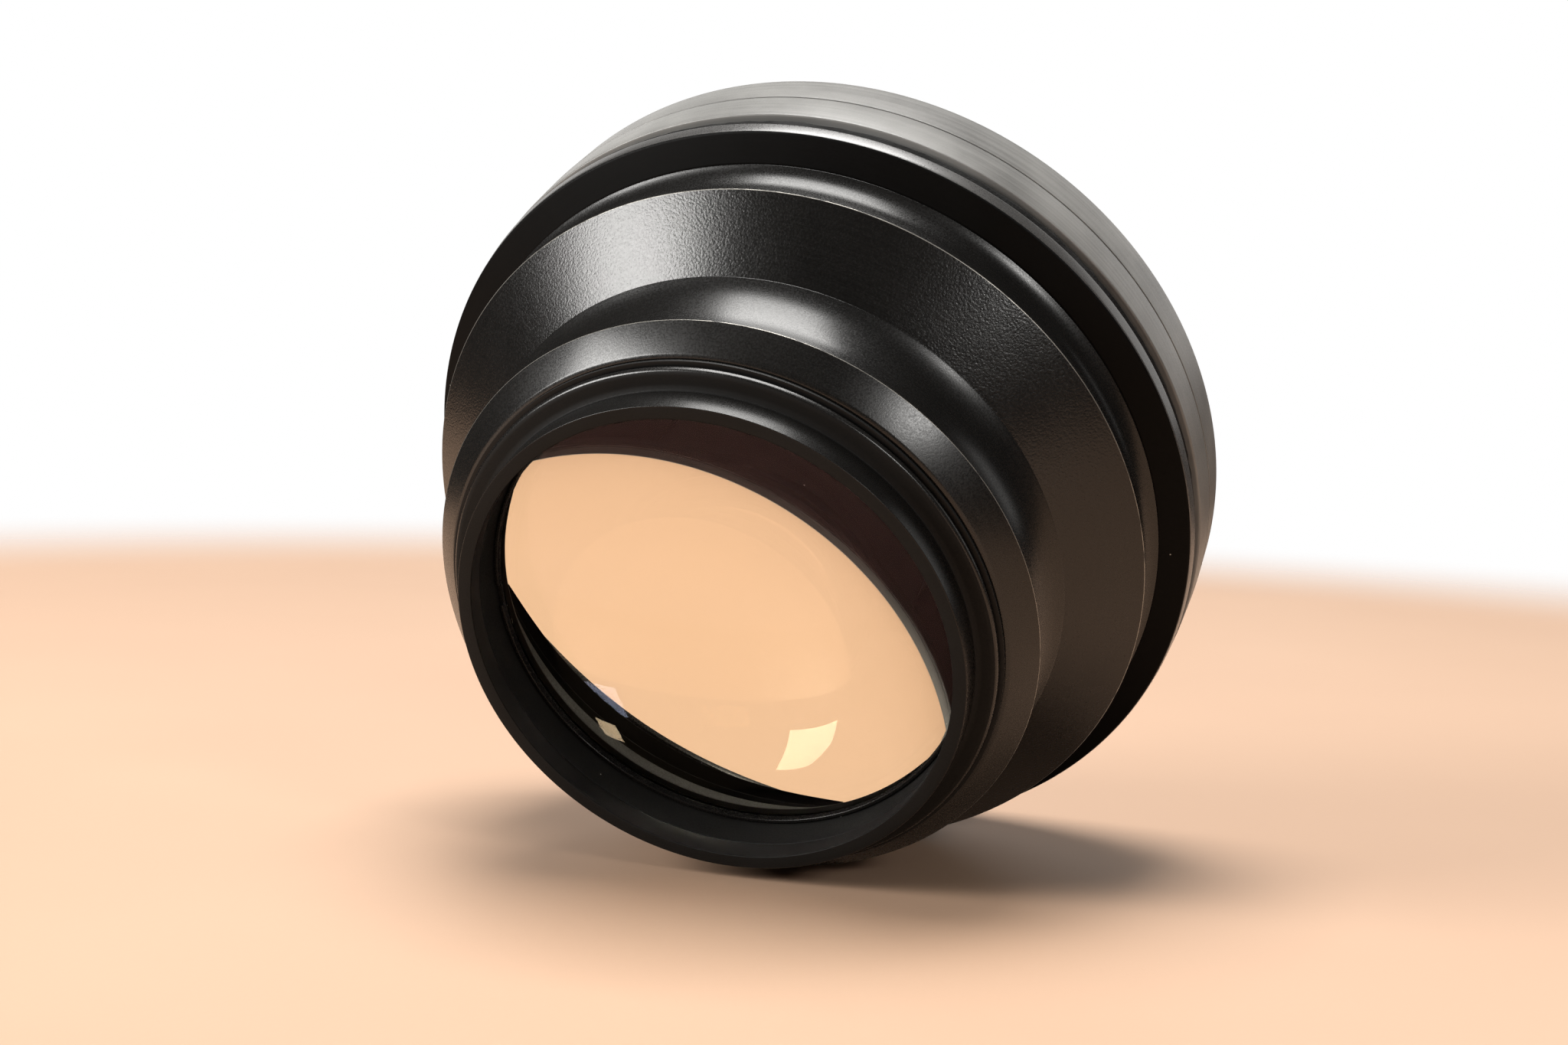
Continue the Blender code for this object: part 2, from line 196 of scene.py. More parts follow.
# Each light baffle's node, station, inner and outer radius
BAFFLES = (
    ("rear_baffle", 23.4, 32.6, 35.1),
    ("middle_baffle", 27.0, 34.0, 39.3),
    ("front_baffle", 31.4, 33.3, 42.5),
)
BAFFLE_LIP = 0.1
BAFFLE_THICKNESS = 0.8
BAFFLE_BEVEL = 1.2
BAFFLE_EASE = 0.03

# The radii to which the glass surfaces curve
REAR_GLASS_CURVE = 63.0
FRONT_GLASS_HOLLOW_CURVE = 60.0
FRONT_GLASS_CURVE = 300.0

WASHER_INSET = 0.3
GAP = 0.3  # between two pieces, in place of a thread or a running fit
SLOT_WIDTH = 3.0
SLOT_DEPTH = 0.5
CUTTER_LENGTH = 4 * SPIGOT


# ---------------------------------------------------------------- materials


class Shading:
    """A material's node tree, with short ways to add to it."""

    def __init__(self, name):
        self.material = bpy.data.materials.new(name)
        self.material.use_nodes = True
        self.tree = self.material.node_tree
        self.shader = self.tree.nodes["Principled BSDF"]
        lathe = {
            "Vector": self.node("ShaderNodeTexCoord").outputs["Object"],
            "Location": LYING.to_translation(),
            "Rotation": LYING.to_euler(),
        }
        self.place = self.node("ShaderNodeMapping", lathe, vector_type="TEXTURE").outputs[0]

    def node(self, kind, inputs=(), **settings):
        made = self.tree.nodes.new(kind)
        for key, value in settings.items():
            setattr(made, key, value)
        for key, value in dict(inputs).items():
            if isinstance(value, bpy.types.NodeSocket):
                self.tree.links.new(value, made.inputs[key])
            else:
                made.inputs[key].default_value = value
        return made

    def maths(self, operation, first, second=0.0, clamp=False):
        inputs = {0: first, 1: second}
        made = self.node("ShaderNodeMath", inputs, operation=operation, use_clamp=clamp)
        return made.outputs[0]

    def blend(self, first, second, share):
        """first by its share, and second by the rest."""
        part = self.maths("MULTIPLY", first, share)
        return self.maths("ADD", part, self.maths("MULTIPLY", second, 1 - share))

    def noise(self, scale, detail=3.0, place=None):
        inputs = {"Vector": place or self.place, "Scale": scale, "Detail": detail}
        return self.node("ShaderNodeTexNoise", inputs).outputs["Fac"]

    def lathe_marks(self, spacing, swirl=30.0):
        """Rings round the axis, spacing metres apart, which break up slowly along their way."""
        parts = self.node("ShaderNodeSeparateXYZ", {0: self.place}).outputs
        flat = self.node("ShaderNodeCombineXYZ", {"X": parts["X"], "Y": parts["Y"]}).outputs[0]
        radius = self.node("ShaderNodeVectorMath", {0: flat}, operation="LENGTH").outputs["Value"]
        along = self.maths("ADD", radius, parts["Z"])
        inputs = {
            "X": self.maths("MULTIPLY", parts["X"], swirl),
            "Y": self.maths("MULTIPLY", parts["Y"], swirl),
            "Z": self.maths("DIVIDE", along, spacing),
        }
        return self.noise(1.0, 2.0, self.node("ShaderNodeCombineXYZ", inputs).outputs[0])

    def remap(self, value, low, high, to_low, to_high):
        inputs = {0: value, 1: low, 2: high, 3: to_low, 4: to_high}
        return self.node("ShaderNodeMapRange", inputs).outputs[0]

    def mix(self, factor, first, second):
        """first where factor is 0 and second where it is 1. Both are colours or colour sockets."""
        made = self.node("ShaderNodeMix", {0: factor}, data_type="RGBA")
        for socket, value in ((made.inputs[6], first), (made.inputs[7], second)):
            if isinstance(value, bpy.types.NodeSocket):
                self.tree.links.new(value, socket)
            else:
                socket.default_value = (*value, 1.0)
        return made.outputs[2]

    def specks(self, spacing, size, share):
        """1 on scattered round specks, 0 elsewhere."""
        cells = self.node("ShaderNodeTexVoronoi", {"Vector": self.place, "Scale": 1 / spacing})
        near = self.maths("LESS_THAN", cells.outputs["Distance"], size / spacing)
        tone = self.node("ShaderNodeSeparateColor", {0: cells.outputs["Color"]}).outputs[0]
        chosen = self.maths("LESS_THAN", tone, share)
        return self.maths("MULTIPLY", near, chosen)

    def bump(self, height, depth, before=None):
        inputs = {"Height": height, "Distance": depth, "Strength": 1.0}
        if before is not None:
            inputs["Normal"] = before
        return self.node("ShaderNodeBump", inputs).outputs[0]

    def put(self, **values):
        """Sets or links the shader's own inputs, and returns the material."""
        for key, value in values.items():
            socket = self.shader.inputs[key.replace("_", " ")]
            if isinstance(value, bpy.types.NodeSocket):
                self.tree.links.new(value, socket)
            else:
                socket.default_value = (*value, 1.0) if isinstance(value, tuple) else value
        return self.material


CLOUDS = 90.0  # waves a metre in the tone's mottling
RUBBING = 500.0  # waves a metre between bare and covered metal
DUST = (0.36, 0.34, 0.31)
DUST_SPACING = 2.0 * MM
DUST_SIZE = 0.1 * MM
BARE_METAL = (0.24, 0.23, 0.21)
DARKER = 0.75  # the mottled tone's two ends, as shares of the tone
PALER = 1.35
SMOOTHER = 0.72  # and the roughness's
ROUGHER = 1.28


def anodised(name, tone, roughness, grain, marks, dust=0.012, wear=0.0, level=0.5, metallic=0.0):
    """Anodised metal: mottled tone, blasted grain, turning marks, dust, and wear to bare metal.

    grain and marks are (size, depth) of the blasted grain and the turning marks, in millimetres.
    dust is the share of cells with a speck, and wear how much of the surface is rubbed bare.
    """
    made = Shading(name)
    cloud = made.noise(CLOUDS, 4.0)
    grains = made.noise(1 / (grain[0] * MM), 2.0)
    rings = made.lathe_marks(marks[0] * MM)
    mottle = made.blend(cloud, rings, 0.6)
    dark = tuple(part * DARKER for part in tone)
    pale = tuple(part * PALER for part in tone)
    colour = made.mix(made.remap(mottle, 0.35, 0.65, 0.0, 1.0), dark, pale)
    specks = made.specks(DUST_SPACING, DUST_SIZE, dust)
    colour = made.mix(specks, colour, DUST)
    uneven = made.blend(grains, mottle, 0.65)
    gloss = made.remap(uneven, 0.3, 0.7, roughness * SMOOTHER, roughness * ROUGHER)
    gloss = made.maths("ADD", gloss, made.maths("MULTIPLY", specks, 0.5), clamp=True)
    relief = made.bump(grains, grain[1] * MM)
    relief = made.bump(rings, marks[1] * MM, relief)
    made.put(Specular_IOR_Level=level, Metallic=metallic)
    if wear:
        rubbed = made.noise(RUBBING, 4.0)
        bare = made.remap(rubbed, 0.55 - 0.3 * wear, 0.75 - 0.3 * wear, 0.0, 1.0)
        colour = made.mix(bare, colour, BARE_METAL)
        made.put(Metallic=made.maths("MULTIPLY", bare, 0.6))
    return made.put(Base_Color=colour, Roughness=gloss, Normal=relief)


WARM_BLACK = (0.0044, 0.0041, 0.0038)
# The flange band's black is paler than the other blacks: painted sheen for the light the band
# reflects
FLANGE_PAINTED_SHEEN_BLACK = (0.04, 0.039, 0.038)
# The flange's rear wall black is far darker than the other blacks: painted shade for that shaded
# face
WALL_PAINTED_SHADE_BLACK = (0.0012, 0.0011, 0.001)
SLEEVE_GREY = (0.14, 0.138, 0.132)
BORE_BLACK = (0.007, 0.0067, 0.0064)
INNER_BLACK = (0.004, 0.0038, 0.0035)
NYLON_BLACK = (0.003, 0.003, 0.003)
STEEL_GREY = (0.25, 0.25, 0.26)
FINE = (0.1, 0.001)  # grain or marks that can't be seen from a hand's width away

SATIN = anodised("satin black", WARM_BLACK, 0.28, (0.2, 0.005), (0.12, 0.001), level=0.25)
BLASTED = anodised(
    "blasted black", WARM_BLACK, 0.24, (0.3, 0.031), (0.2, 0.0005), dust=0.02, level=0.45
)
SMOOTH = anodised("smooth black", WARM_BLACK, 0.27, (0.24, 0.0065), (0.15, 0.0006), level=0.45)
# The flange band's finish: its higher gloss is real, and its paler black is painted sheen
GLOSS_PAINTED_SHEEN = anodised("flange black with painted sheen", FLANGE_PAINTED_SHEEN_BLACK, 0.3, (0.2, 0.003), FINE, dust=0.05, level=0.9)
# The rear wall's finish: its darker black is painted shade, while its dust specks are real
WALL_PAINTED_SHADE = anodised("wall black with painted shade", WALL_PAINTED_SHADE_BLACK, 0.5, (0.2, 0.003), FINE, dust=0.2, level=0.07)
GREY = anodised("sleeve grey", SLEEVE_GREY, 0.4, (0.2, 0.006), (0.4, 0.004), dust=0.02)
EDGE = anodised("rubbed edge", WARM_BLACK, 0.32, (0.2, 0.002), (0.1, 0.0005), wear=0.9)
BORE = anodised("bore black", BORE_BLACK, 0.36, (0.1, 0.002), (0.1, 0.002), level=0.45)
MATTE = anodised("inner matte", INNER_BLACK, 0.6, (0.2, 0.006), (0.2, 0.002), level=0.15)
NYLON = anodised("washer nylon", NYLON_BLACK, 0.5, FINE, FINE, dust=0.0, level=0.2)
STEEL = anodised("spring steel", STEEL_GREY, 0.35, FINE, FINE, dust=0.0, metallic=1.0)


def rubber():
    """Matte rubber with a crumbly surface."""
    made = Shading("seal rubber")
    crumbs = made.noise(2600.0, 6.0)
    cloud = made.noise(300.0, 3.0)
    patches = made.remap(cloud, 0.35, 0.7, 0.0, 1.0)
    tone = made.mix(patches, (0.003, 0.003, 0.003), (0.01, 0.0097, 0.0093))
    return made.put(
        Base_Color=tone,
        Roughness=made.remap(cloud, 0.3, 0.7, 0.7, 0.9),
        Specular_IOR_Level=0.2,
        Normal=made.bump(crumbs, 0.12 * MM),
    )


def black_paint():
    """Matte paint on the ground edges of the glass."""
    made = Shading("edge paint")
    cloud = made.noise(800.0, 3.0)
    tone = made.mix(cloud, (0.003, 0.003, 0.003), (0.008, 0.0075, 0.007))
    rough = made.remap(cloud, 0.3, 0.7, 0.6, 0.8)
    return made.put(Base_Color=tone, Roughness=rough, Specular_IOR_Level=0.0)


def glass(name, bend, coating):
    """Polished glass of index bend, with a faint uneven tint.

    coating is the (thickness in nanometres, index) of the film on its surface.
    """
    made = Shading(name)
    haze = made.noise(60.0, 3.0)
    tone = made.mix(haze, (0.98, 0.925, 0.82), (0.998, 0.95, 0.86))
    return made.put(
        Base_Color=tone,
        Roughness=0.0,
        IOR=bend,
        Transmission_Weight=1.0,
        Thin_Film_Thickness=coating[0],
        Thin_Film_IOR=coating[1],
    )


RUBBER = rubber()
PAINT = black_paint()
REAR_LOOK = glass("rear glass", bend=1.7, coating=(94.0, 1.47))
FRONT_LOOK = glass("front glass", bend=1.55, coating=(110.0, 1.38))


# ---------------------------------------------------------------- turned pieces


def corners_of(outline, ease):
    """The outline's corners as (point, rounding, finish, finish of the rounding).

    A whole number in the outline sets the finish from there on.
    """
    finish = 0
    found = []
    for item in outline:
        if isinstance(item, int):
            finish = item
            continue
        size = item[2] if len(item) > 2 else ease
        edge = item[3] if len(item) > 3 else finish
        found.append((Vector(item[:2]), size, finish, edge))
    return found


def rounded(outline, ease):
    """(point, finish of the face that starts there), round the outline with its corners eased."""
    corners = corners_of(outline, ease)
    points = []
    for index, (here, size, finish, edge) in enumerate(corners):
        back = corners[index - 1][0] - here
        ahead = corners[(index + 1) % len(corners)][0] - here
        bend = math.pi - back.angle(ahead)
        reach = min(size, EASE_SHARE * back.length, EASE_SHARE * ahead.length)
        if here.y < ON_AXIS or bend < STRAIGHT or reach < LEAST_EASE:
            points.append((here, finish))
            continue
        first = here + back.normalized() * reach
        last = here + ahead.normalized() * reach
        for step in range(ROUND_STEPS + 1):
            part = step / ROUND_STEPS
            point = first * (1 - part) ** 2 + here * 2 * part * (1 - part) + last * part**2
            points.append((point, edge if step < ROUND_STEPS else finish))
    return points


RAGGED_LUMPS = 60  # waves of the ragged surface's noise round the piece, divided by 2 pi
RAGGED_ALONG = 1.5  # waves for each millimetre along it


def turned(name, outline, finishes, stands_for, body="barrel", ease=EASE, ragged=0.0):
    """A fine turned piece in place of a CAD node.

    finishes are its materials, which the outline picks by number. ragged is how far the surface
    strays, in millimetres.
    """
    points = rounded(outline, ease)
    places = []
    rings = []
    for point, _ in points:
        if point.y < ON_AXIS:
            rings.append([len(places)] * SIDES)
            places.append(Vector((0, 0, point.x)) * MM)
            continue
        rings.append(list(range(len(places), len(places) + SIDES)))
        for side in range(SIDES):
            turn = 2 * math.pi * side / SIDES
            radius = point.y
            if ragged:
                spot = Vector(
                    (
                        math.cos(turn) * RAGGED_LUMPS,
                        math.sin(turn) * RAGGED_LUMPS,
                        point.x * RAGGED_ALONG,
                    )
                )
                radius += ragged * (noise.noise(spot) + 0.6 * noise.noise(spot * 2.7))
            places.append(Vector((radius * math.cos(turn), radius * math.sin(turn), point.x)) * MM)
    faces = []
    finish_of = []
    for index, (_, finish) in enumerate(points):
        near = rings[index]
        far = rings[(index + 1) % len(rings)]
        if near[0] == near[1] and far[0] == far[1]:
            continue
        for side in range(SIDES):
            after = (side + 1) % SIDES
            loop = [near[side], near[after], far[after], far[side]]
            faces.append(list(dict.fromkeys(loop)))
            finish_of.append(finish)
    mesh = bpy.data.meshes.new(name)
    mesh.from_pydata(places, [], faces)
    mesh.transform(LYING)
    for finish in finishes:
        mesh.materials.append(finish)
    mesh.polygons.foreach_set("material_index", finish_of)
    shape = bmesh.new()
    shape.from_mesh(mesh)
    bmesh.ops.recalc_face_normals(shape, faces=shape.faces)
    shape.to_mesh(mesh)
    shape.free()
    mesh.shade_smooth()
    mesh.set_sharp_from_angle(angle=SMOOTH_BELOW)
    made = bpy.data.objects.new(name, mesh)
    bpy.context.scene.collection.objects.link(made)
    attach(made, body)
    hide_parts(stands_for)
    return made


def cut_slots(ring, station):
    """Two opposite slots for a pin spanner, across the ring's face at that station."""
    mesh = bpy.data.meshes.new("cutter")
    shape = bmesh.new()
    bmesh.ops.create_cube(shape, size=MM)
    shape.to_mesh(mesh)
    shape.free()
    mesh.transform(Matrix.Diagonal((CUTTER_LENGTH, SLOT_WIDTH, 2 * SLOT_DEPTH, 1)))
    mesh.transform(LYING @ Matrix.Translation((0, 0, station * MM)))
    cutter = bpy.data.objects.new("cutter", mesh)
    bpy.context.scene.collection.objects.link(cutter)
    cut = ring.modifiers.new("slots", "BOOLEAN")
    cut.operation = "DIFFERENCE"
    cut.object = cutter
    graph = bpy.context.evaluated_depsgraph_get()
    ring.data = bpy.data.meshes.new_from_object(ring.evaluated_get(graph))
    ring.modifiers.clear()
    bpy.data.objects.remove(cutter)


def cove(start, end):
    """A hollow curve that leaves start parallel to the axis and rises to end."""
    length = end[0] - start[0]
    rise = end[1] - start[1]
    curve = (length**2 + rise**2) / (2 * rise)
    sweep = math.asin(length / curve)
    turns = [sweep * step / COVE_STEPS for step in range(COVE_STEPS + 1)]
    return [
        (start[0] + curve * math.sin(turn), start[1] + curve * (1 - math.cos(turn)))
        for turn in turns
    ]


def dome(vertex, curve, radius):
    """A glass surface from its vertex on the axis out to its edge, which lies nearer the rear."""
    sweep = math.asin(radius / curve)
    turns = [sweep * step / DOME_STEPS for step in range(DOME_STEPS + 1)]
    return [(vertex - curve * (1 - math.cos(turn)), curve * math.sin(turn)) for turn in turns]


turned(
    "mount_spigot",
    [
        (0, SPIGOT, 0.12),
        (MATTE_START, SPIGOT + 0.02, 0.0),
        2,
        (SPIGOT_END, SPIGOT - 0.05, 0.2),
        (SHOULDER_START, SPIGOT + 0.6, 0.2),
        (SHOULDER_FACE, SHOULDER - 0.6, 0.3),
        3,
        (SHOULDER_ROUND, SHOULDER - 0.1, 0.4),
        (SHOULDER_END, SHOULDER, 0.25),
        0,
        (SHOULDER_END, TAIL),
        (SNAP_GROOVE_START, TAIL),
        (SNAP_GROOVE_START, TAIL - SNAP_GROOVE_DEPTH),
        (SNAP_GROOVE_END, TAIL - SNAP_GROOVE_DEPTH),
        (SNAP_GROOVE_END, TAIL),
        (MOUNT_END, TAIL),
        (MOUNT_END, BARREL_BORE),
        1,
        (MOUNT_BORE_STEP, BARREL_BORE),
        (MOUNT_BORE_STEP, MOUNT_BORE_FRONT, 0.15),
        2,
        (0, MOUNT_BORE, 0.15),
    ],
    [SATIN, BORE, MATTE, SMOOTH],
    "mount_ring",
    body="mount",
)
turned(
    "turning_washer",
    [
        (WASHER_START, TAIL + GAP),
        (WASHER_START, COLLAR_REAR - WASHER_INSET),
        (WASHER_END, COLLAR_REAR - WASHER_INSET),
        (WASHER_END, TAIL + GAP),
    ],
    [NYLON],
    "thrust_washer",
    ease=0.05,
)
turned(
    "collar",
    [
        (COLLAR_START, COLLAR_REAR - 0.2, 0.15),
        (COLLAR_FACE_END, COLLAR_REAR + 0.2, 0.15),
        (COLLAR_END, COLLAR, 0.16, 1),
        (COLLAR_END, COLLAR_BORE),
        (POCKET_END, COLLAR_BORE),
        (POCKET_END, COLLAR_POCKET),
        (POCKET_START, COLLAR_POCKET),
        (POCKET_START, TAIL + GAP),
        (COLLAR_START, TAIL + GAP),
    ],
    [SMOOTH, EDGE],
    "rear_collar",
)
turned(
    "barrel_body",
    [
        (BARREL_START, BARREL_TAIL),
        (COLLAR_END + GAP, BARREL_TAIL),
        (COLLAR_END + GAP, NECK),
        *cove((NECK_COVE_START, NECK), (CONE_START, CONE_REAR)),
        1,
        (CONE_START + 0.05, CONE_REAR + 0.02, 0.15),
        (CONE_END, CONE, 0.2, 3),
        0,
        (CONE_BACK, COVE, 0.2),
        *cove((WALL_COVE_START, COVE + 0.05), (WALL_COVE_END, WALL_FOOT)),
        (WALL_COVE_END, FLANGE_BORE),
        2,
        (FLANGE_BORE_START, FLANGE_BORE),
        (FLANGE_BORE_START, BAFFLE_BORE),
        (BAFFLE_BORE_START, BAFFLE_BORE),
        (FUNNEL_BEND, FUNNEL),
        (FUNNEL_START, BARREL_BORE),
        (COLLAR_END, BARREL_BORE),
        (COLLAR_END, COLLAR_POCKET),
        (BARREL_START, COLLAR_POCKET),
    ],
    [SMOOTH, BLASTED, MATTE, EDGE],
    "main_barrel",
)
turned(
    "flange",
    [
        1,
        (FLANGE_START, WALL_FOOT, 0.12),
        (FLANGE_WALL_BEND, WALL_FOOT + 1.5, 0.0),
        (FLANGE_WALL_END, WALL_TOP, 0.2),
        0,
        (FLANGE_WALL_END + 0.3, WALL_TOP + 0.2, 0.15),
        (FLANGE_END, FLANGE, 0.25),
        (FLANGE_END, HUB),
        2,
        (HUB_END, HUB),
        (HUB_END, HUB_BORE_FRONT),
        (FLANGE_WALL_END, HUB_BORE_REAR),
        (FLANGE_WALL_END, FLANGE_BORE),
        (FLANGE_START, FLANGE_BORE),
    ],
    # The band's finish carries painted sheen, and the rear wall's finish carries painted shade
    [GLOSS_PAINTED_SHEEN, WALL_PAINTED_SHADE, MATTE],
    "flange_ring",
)
turned(
    "rough_seal",
    [
        (SEAL_START, HUB + GAP),
        (SEAL_START, SEAL - 0.5, 0.0),
        (41.2, SEAL - 0.1, 0.0),
        (41.7, SEAL - 0.25, 0.0),
        (42.3, SEAL + 0.05, 0.0),
        (42.8, SEAL - 0.1, 0.0),
        (SEAL_END, SEAL - 0.4, 0.0),
        (SEAL_END, HUB + GAP),
    ],
    [RUBBER],
    "seal_ring",
    ragged=0.16,
)
turned(
    "grey_sleeve",
    [
        (SLEEVE_START, HUB + GAP),
        (SLEEVE_START, FRONT, 0.3),
        (SLEEVE_END, FRONT, 0.12),
        (SLEEVE_END, HUB + GAP),
    ],
    [GREY],
    "front_sleeve",
)
turned(
    "grey_rim",
    [
        (RIM_START, FILTER_LIP),
        (RIM_START, FRONT, 0.12),
        (RIM_ROUND_START, FRONT_RIM, 0.4),
        (FRONT_END, FRONT_RIM - 0.8, 0.3),
        (FRONT_END, FILTER_BORE + 0.6, 0.3),
        1,
        (RIM_BORE_START, FILTER_BORE, 0.1),
        (FILTER_SEAT, FILTER_BORE),
        (FILTER_SEAT, FILTER_LIP),
    ],
    [GREY, BORE],
    "front_rim_ring",
)
turned(
    "rear_tube",
    [
        (REAR_CELL_START, REAR_CELL_BORE, 0.12),
        (REAR_CELL_START, REAR_CELL),
        (REAR_CELL_END, REAR_CELL),
        (REAR_CELL_END, REAR_CELL_BORE),
        (REAR_CELL_LIP_END, REAR_CELL_BORE),
        (REAR_CELL_LIP_END, REAR_CELL_LIP),
        (REAR_CELL_LIP_START, REAR_CELL_LIP),
        (REAR_CELL_LIP_START, REAR_CELL_BORE),
    ],
    [MATTE],
    "rear_cell",
)
rear_retainer = turned(
    "rear_retainer",
    [
        (REAR_RETAINER_START, REAR_RETAINER_BORE, 0.12),
        (REAR_RETAINER_START, REAR_RETAINER, 0.12),
        (REAR_RETAINER_END, REAR_RETAINER),
        (REAR_RETAINER_END, REAR_RETAINER_BORE),
    ],
    [SATIN],
    "rear_retaining_ring",
)
cut_slots(rear_retainer, REAR_RETAINER_START)
turned(
    "rear_glass",
    [
        0,
        (REAR_GLASS_START, 0.0),
        1,
        (REAR_GLASS_START, REAR_GLASS - 0.3, 0.0),
        (REAR_GLASS_START + 0.25, REAR_GLASS, 0.0),
        0,
        *dome(REAR_GLASS_VERTEX, REAR_GLASS_CURVE, REAR_GLASS)[::-1],
    ],
    [REAR_LOOK, PAINT],
    "rear_lens",
)
for baffle, station, inner, outer in BAFFLES:
    turned(
        baffle + "_disc",
        [
            (station, inner),
            (station + BAFFLE_LIP, inner),
            (station + BAFFLE_THICKNESS, inner + BAFFLE_BEVEL),
            (station + BAFFLE_THICKNESS, outer),
            (station, outer),
        ],
        [MATTE],
        baffle,
        ease=BAFFLE_EASE,
    )
turned(
    "front_tube",
    [
        (FRONT_CELL_START, FRONT_CELL_LIP),
        (FRONT_CELL_START, FRONT_CELL_REAR),
        (FRONT_CELL_STEP, FRONT_CELL_REAR),
        (FRONT_CELL_STEP, FRONT_CELL),
        (FRONT_CELL_END, FRONT_CELL),
        (FRONT_CELL_END, FRONT_CELL_BORE),
        (FRONT_CELL_FLOOR, FRONT_CELL_BORE),
        (FRONT_CELL_FLOOR, FRONT_CELL_LIP),
    ],
    [MATTE],
    "front_cell",
)
turned(
    "front_gasket",
    [
        (FRONT_SEAL_START, FRONT_SEAL_BORE),
        (FRONT_SEAL_START, FRONT_SEAL),
        (FRONT_SEAL_END, FRONT_SEAL),
        (FRONT_SEAL_END, FRONT_SEAL_BORE),
    ],
    [RUBBER],
    "front_seal",
)
front_hollow = dome(FRONT_GLASS_HOLLOW, FRONT_GLASS_HOLLOW_CURVE, FRONT_CLEAR)
turned(
    "front_glass",
    [
        0,
        *front_hollow[:-1],
        1,
        front_hollow[-1],
        (front_hollow[-1][0], FRONT_GLASS, 0.0),
        0,
        *dome(FRONT_GLASS_VERTEX, FRONT_GLASS_CURVE, FRONT_GLASS)[::-1],
    ],
    [FRONT_LOOK, PAINT],
    "front_lens",
)
front_retainer = turned(
    "front_retainer",
    [
        (FRONT_RETAINER_START, FRONT_RETAINER_BORE),
        (FRONT_RETAINER_START, FRONT_RETAINER),
        (FRONT_CELL_END, FRONT_RETAINER, 0.12),
        (FRONT_CELL_END, FRONT_RETAINER_BORE, 0.12),
    ],
    [SATIN],
    "front_retaining_ring",
)
cut_slots(front_retainer, FRONT_CELL_END)
turned(
    "front_trim",
    [
        (TRIM_START, TRIM_BORE),
        (TRIM_START, TRIM),
        (TRIM_END, TRIM, 0.2),
        (TRIM_END, TRIM_BORE, 0.2),
    ],
    [SATIN],
    "front_trim_ring",
)
snap = frame["nodes"]["snap_ring"]
for index in range(len(snap.material_slots)):
    snap.material_slots[index].material = STEEL


# ---------------------------------------------------------------- floor, lights and camera


FLOOR_REACH = 0.47
FLOOR_SIDES = 96
FLOOR_FADE = (0.33, 0.46)  # from solid to clear, in metres from the middle
FLOOR_DARK = (0.42, 0.265, 0.175)
FLOOR_PALE = (0.5, 0.33, 0.225)


def floor():
    """A plain pale tabletop that fades out into the white room."""
    mesh = bpy.data.meshes.new("floor")
    turns = [2 * math.pi * side / FLOOR_SIDES for side in range(FLOOR_SIDES)]
    rim = [(FLOOR_REACH * math.cos(t), FLOOR_REACH * math.sin(t), 0) for t in turns]
    mesh.from_pydata(rim, [], [range(FLOOR_SIDES)])
    made = bpy.data.objects.new("floor", mesh)
    bpy.context.scene.collection.objects.link(made)
    made.location.z = cad_low.z
    look = Shading("floor")
    here = look.node("ShaderNodeTexCoord").outputs["Object"]
    cloud = look.noise(6.0, 3.0, here)
    tone = look.mix(cloud, FLOOR_DARK, FLOOR_PALE)
    grain = look.bump(look.noise(900.0, 3.0, here), 0.02 * MM)
    look.put(Base_Color=tone, Roughness=0.6, Normal=grain)
    flat = look.node("ShaderNodeVectorMath", {0: here}, operation="LENGTH").outputs["Value"]
    ends = {0: flat, 1: FLOOR_FADE[0], 2: FLOOR_FADE[1]}
    fade = look.node("ShaderNodeMapRange", ends, interpolation_type="SMOOTHSTEP")
    clear = look.node("ShaderNodeBsdfTransparent")
    both = {0: fade.outputs[0], 1: look.shader.outputs[0], 2: clear.outputs[0]}
    seen = look.node("ShaderNodeMixShader", both)
    look.tree.links.new(seen.outputs[0], look.tree.nodes["Material Output"].inputs[0])
    mesh.materials.append(look.material)


NEUTRAL = (1.0, 0.985, 0.96)


def softbox(name, azimuth, elevation, width, height, radiance, side=None, distance=1.0):
    """A soft light, seen from the object in that direction. Width and height are in degrees.

    Azimuth 0 lies beyond the object (+Y) and 90 to its right (+X). side is the way its width runs.
    """
    turn, rise = math.radians(azimuth), math.radians(elevation)
    flat = math.cos(rise)
    away = Vector((math.sin(turn) * flat, math.cos(turn) * flat, math.sin(rise)))
    lamp = bpy.data.lights.new(name, "AREA")
    lamp.shape = "RECTANGLE"
    lamp.size = 2 * distance * math.tan(math.radians(width) / 2)
    lamp.size_y = 2 * distance * math.tan(math.radians(height) / 2)
    lamp.energy = radiance * math.pi * lamp.size * lamp.size_y
    lamp.color = NEUTRAL
    made = bpy.data.objects.new(name, lamp)
    bpy.context.scene.collection.objects.link(made)
    wide = side or Vector((math.cos(turn), -math.sin(turn), 0.0))
    tall = away.cross(wide).normalized()
    facing = Matrix((tall.cross(away), tall, away)).transposed().to_4x4()
    made.matrix_world = Matrix.Translation(middle + away * distance) @ facing
    made.visible_camera = False


middle = (cad_low + cad_high) / 2
floor()
softbox("key", azimuth=-132, elevation=21, width=28, height=24, radiance=20.0)
softbox("second", azimuth=130, elevation=23, width=12, height=10, radiance=25.0)
softbox("overhead", azimuth=-53, elevation=85, width=30, height=45, radiance=14.0, side=ACROSS)
softbox("wall", azimuth=8, elevation=23, width=100, height=32, radiance=1.0, distance=1.4)

# The camera sees a white room, and everything else is lit by a dim one
ROOM_SEEN = (1, 1, 1, 1)
ROOM_DIM = (0.05, 0.047, 0.044, 1)

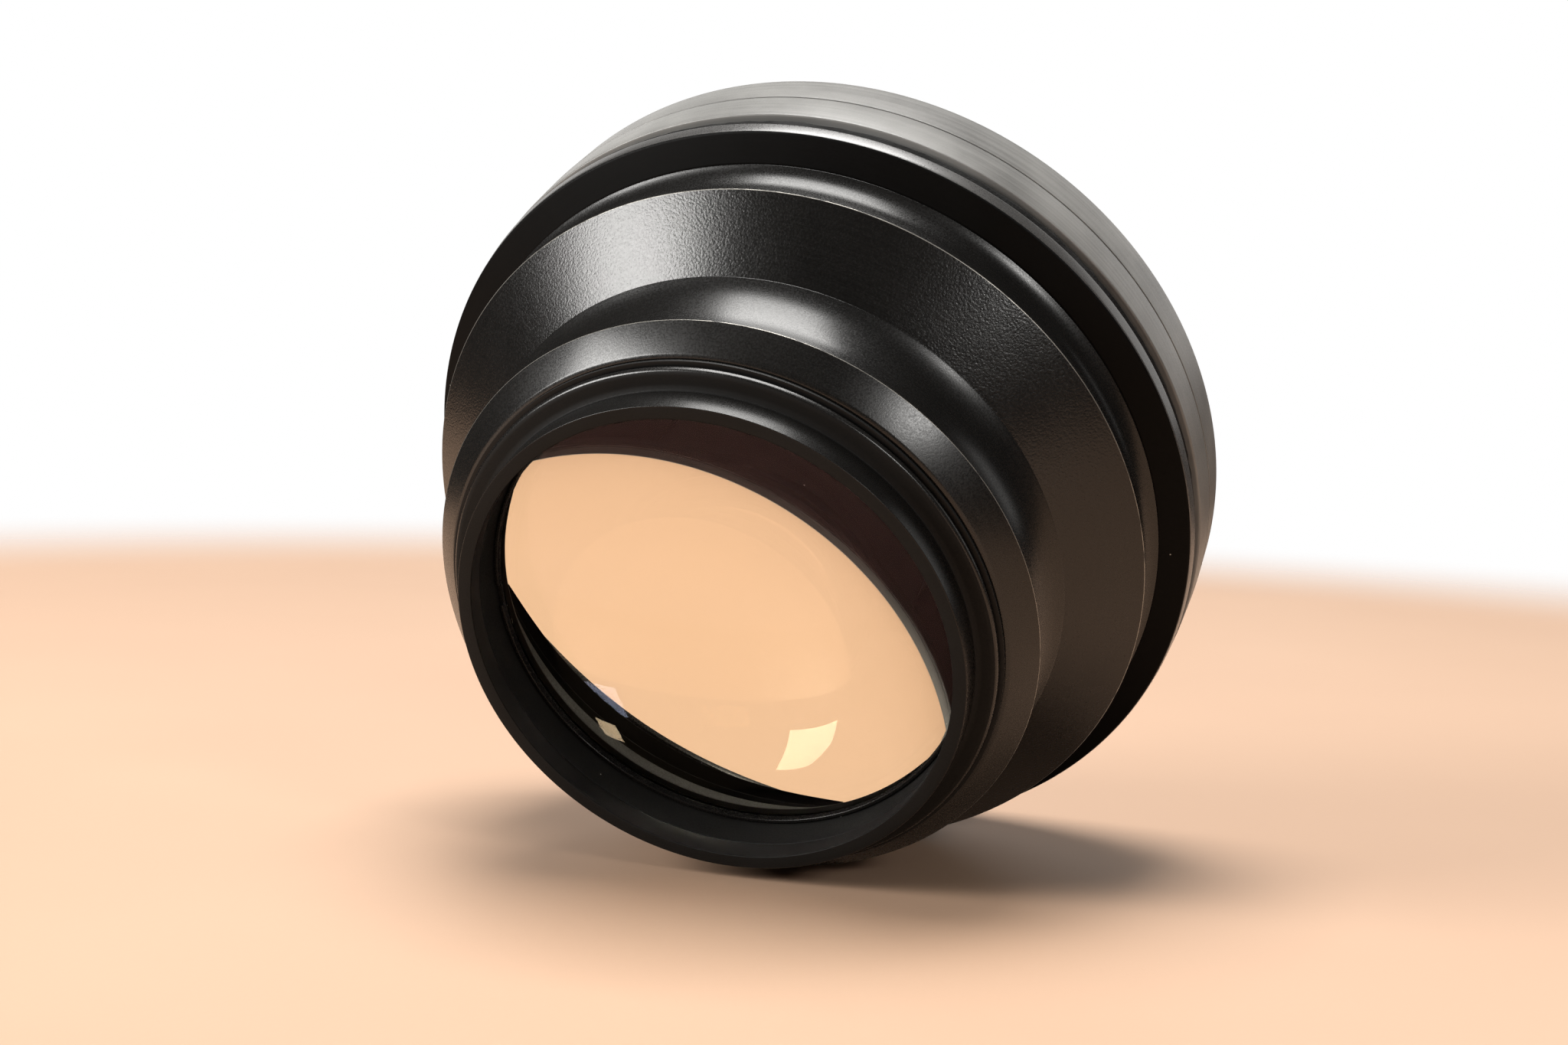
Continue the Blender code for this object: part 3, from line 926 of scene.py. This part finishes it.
world = bpy.data.worlds.new("room")
bpy.context.scene.world = world
world.use_nodes = True
room = world.node_tree
backdrop = room.nodes["Background"]
backdrop.inputs[0].default_value = ROOM_SEEN
backdrop.inputs[1].default_value = 1.0
dim = room.nodes.new("ShaderNodeBackground")
dim.inputs[0].default_value = ROOM_DIM
path = room.nodes.new("ShaderNodeLightPath")
seen = room.nodes.new("ShaderNodeMixShader")
room.links.new(path.outputs["Is Camera Ray"], seen.inputs[0])
room.links.new(dim.outputs[0], seen.inputs[1])
room.links.new(backdrop.outputs[0], seen.inputs[2])
room.links.new(seen.outputs[0], room.nodes["World Output"].inputs[0])

# The camera is the photograph's: it looks at a point beside the centre of the collar's edge
SENSOR_WIDTH = 36.0
FOCAL_LENGTH = 65.04
CLIP = (0.01, 20.0)
CAMERA_AZIMUTH = math.radians(19.21)
CAMERA_ELEVATION = math.radians(5.6)
CAMERA_ROLL = math.radians(2.0)
CAMERA_DISTANCE = 357.93 * MM
AIM_RIGHT = 6.49 * MM
AIM_ABOVE = 10.55 * MM

sight = Vector(
    (
        -math.sin(CAMERA_AZIMUTH) * math.cos(CAMERA_ELEVATION),
        math.cos(CAMERA_AZIMUTH) * math.cos(CAMERA_ELEVATION),
        -math.sin(CAMERA_ELEVATION),
    )
)
level = Vector((math.cos(CAMERA_AZIMUTH), math.sin(CAMERA_AZIMUTH), 0.0))
upright = level.cross(sight)
right = level * math.cos(CAMERA_ROLL) + upright * math.sin(CAMERA_ROLL)
above = upright * math.cos(CAMERA_ROLL) - level * math.sin(CAMERA_ROLL)
collar_edge = REAR_CENTRE + AXIS * (COLLAR_END * MM)
aim = collar_edge + right * AIM_RIGHT + above * AIM_ABOVE
lens = bpy.data.cameras.new("camera")
lens.sensor_width = SENSOR_WIDTH
lens.lens = FOCAL_LENGTH
lens.clip_start, lens.clip_end = CLIP
camera = bpy.data.objects.new("camera", lens)
bpy.context.scene.collection.objects.link(camera)
pointing = Matrix((right, above, -sight)).transposed().to_4x4()
camera.matrix_world = Matrix.Translation(aim - sight * CAMERA_DISTANCE) @ pointing
bpy.context.scene.camera = camera
bpy.context.scene.view_settings.view_transform = "Standard"
